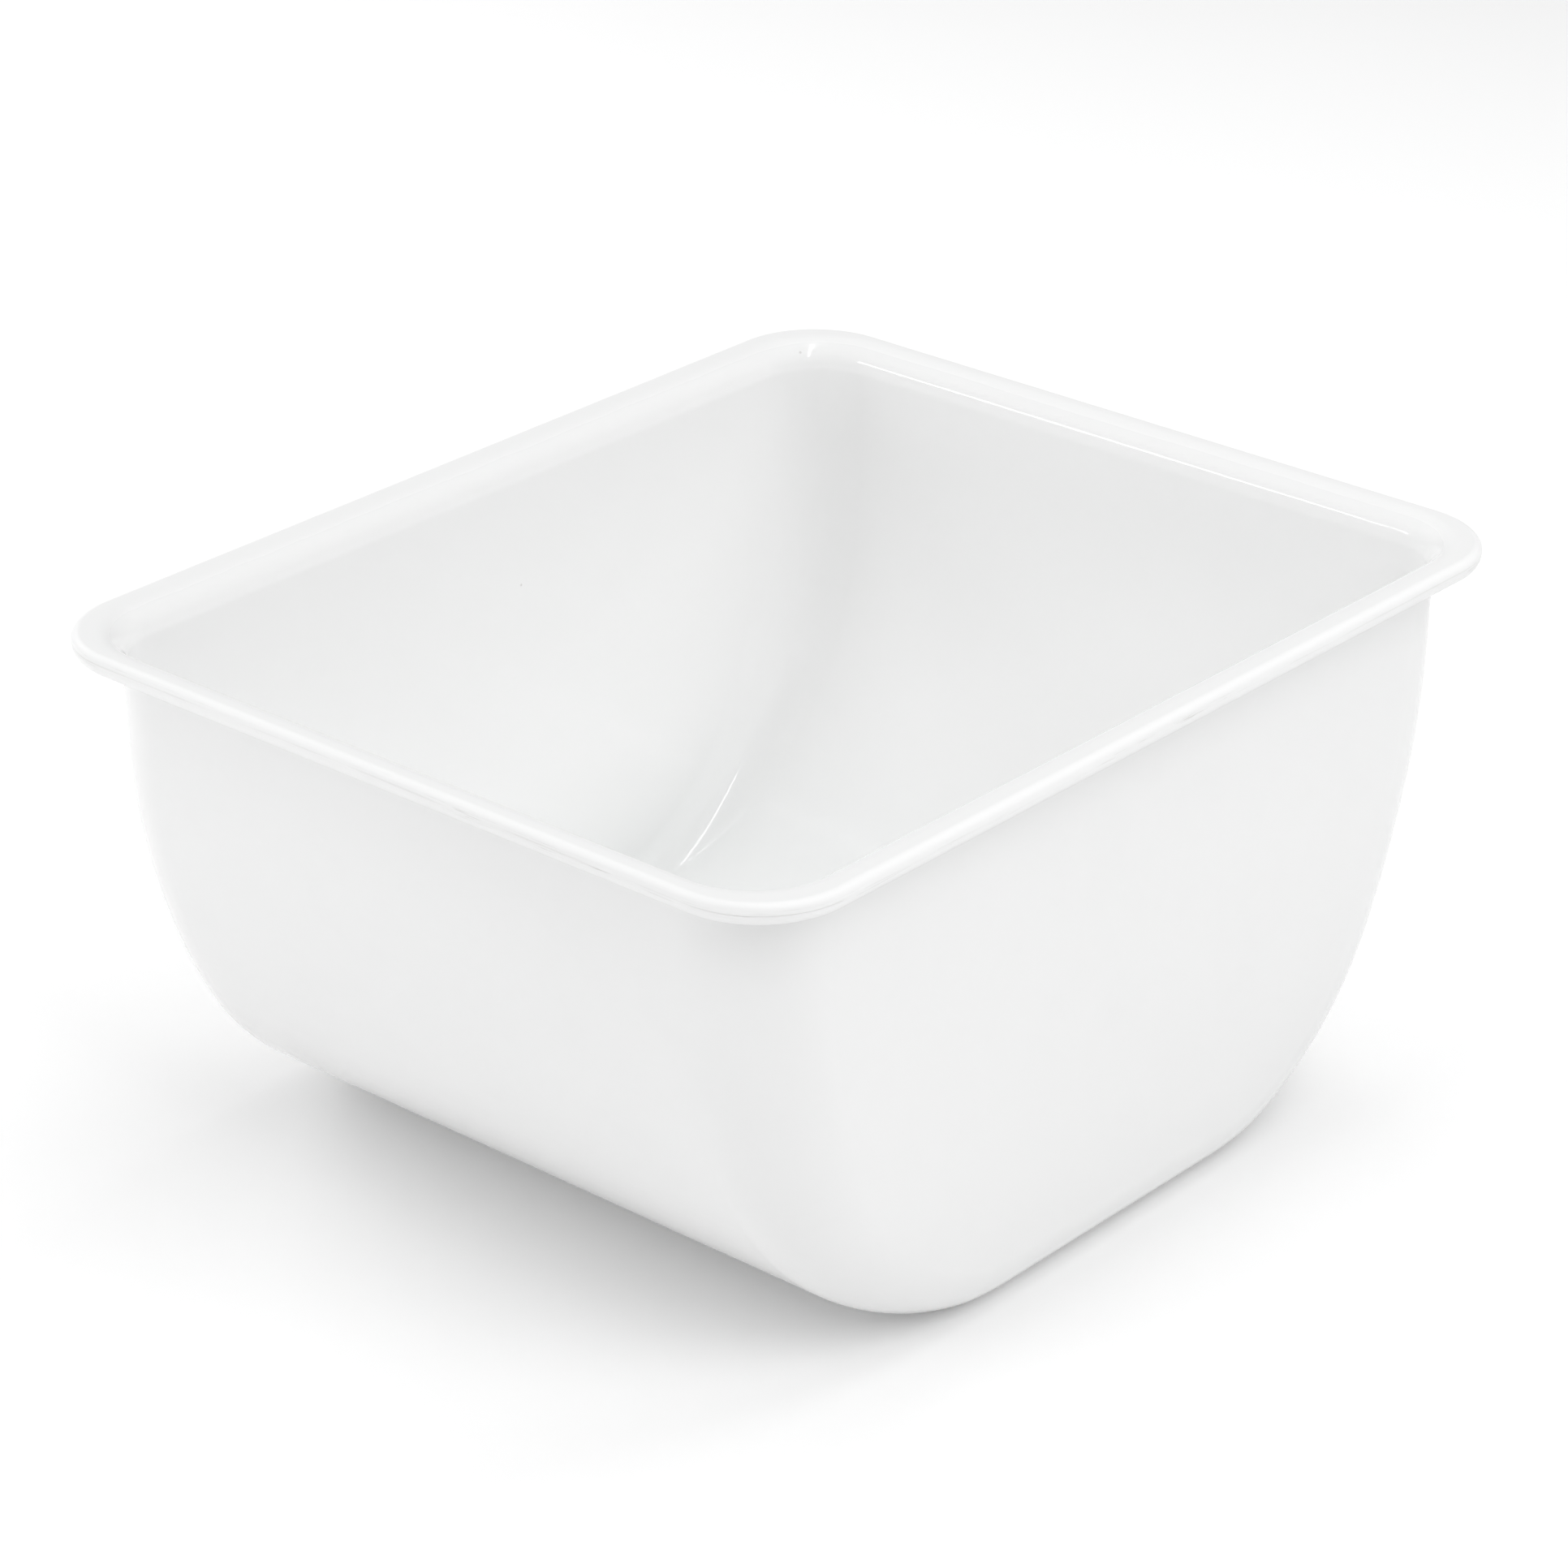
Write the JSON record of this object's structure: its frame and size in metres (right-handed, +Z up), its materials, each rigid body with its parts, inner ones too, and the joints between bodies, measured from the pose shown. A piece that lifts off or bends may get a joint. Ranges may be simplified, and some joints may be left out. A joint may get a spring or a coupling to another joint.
{
  "type": "mortar mixing tub",
  "caption": "One-piece moulded plastic tub with a U-shaped trough, flat end walls and a solid rounded rim, for mixing mortar or plaster by hand.",
  "frame": {"origin": "centre of the flat floor's underside, directly below the middle of the rim", "axes": "+Z up out of the mouth; Y runs between the two curved walls, the longer way; X runs between the two flat walls"},
  "size_m": [0.333, 0.4, 0.202],
  "materials": {
    "tub_plastic": "satin white moulded polyethylene, slightly glossy, faint moulding grain"
  },
  "bodies": {
    "root": {"tub": "tub_plastic"}
  },
  "joints": []
}
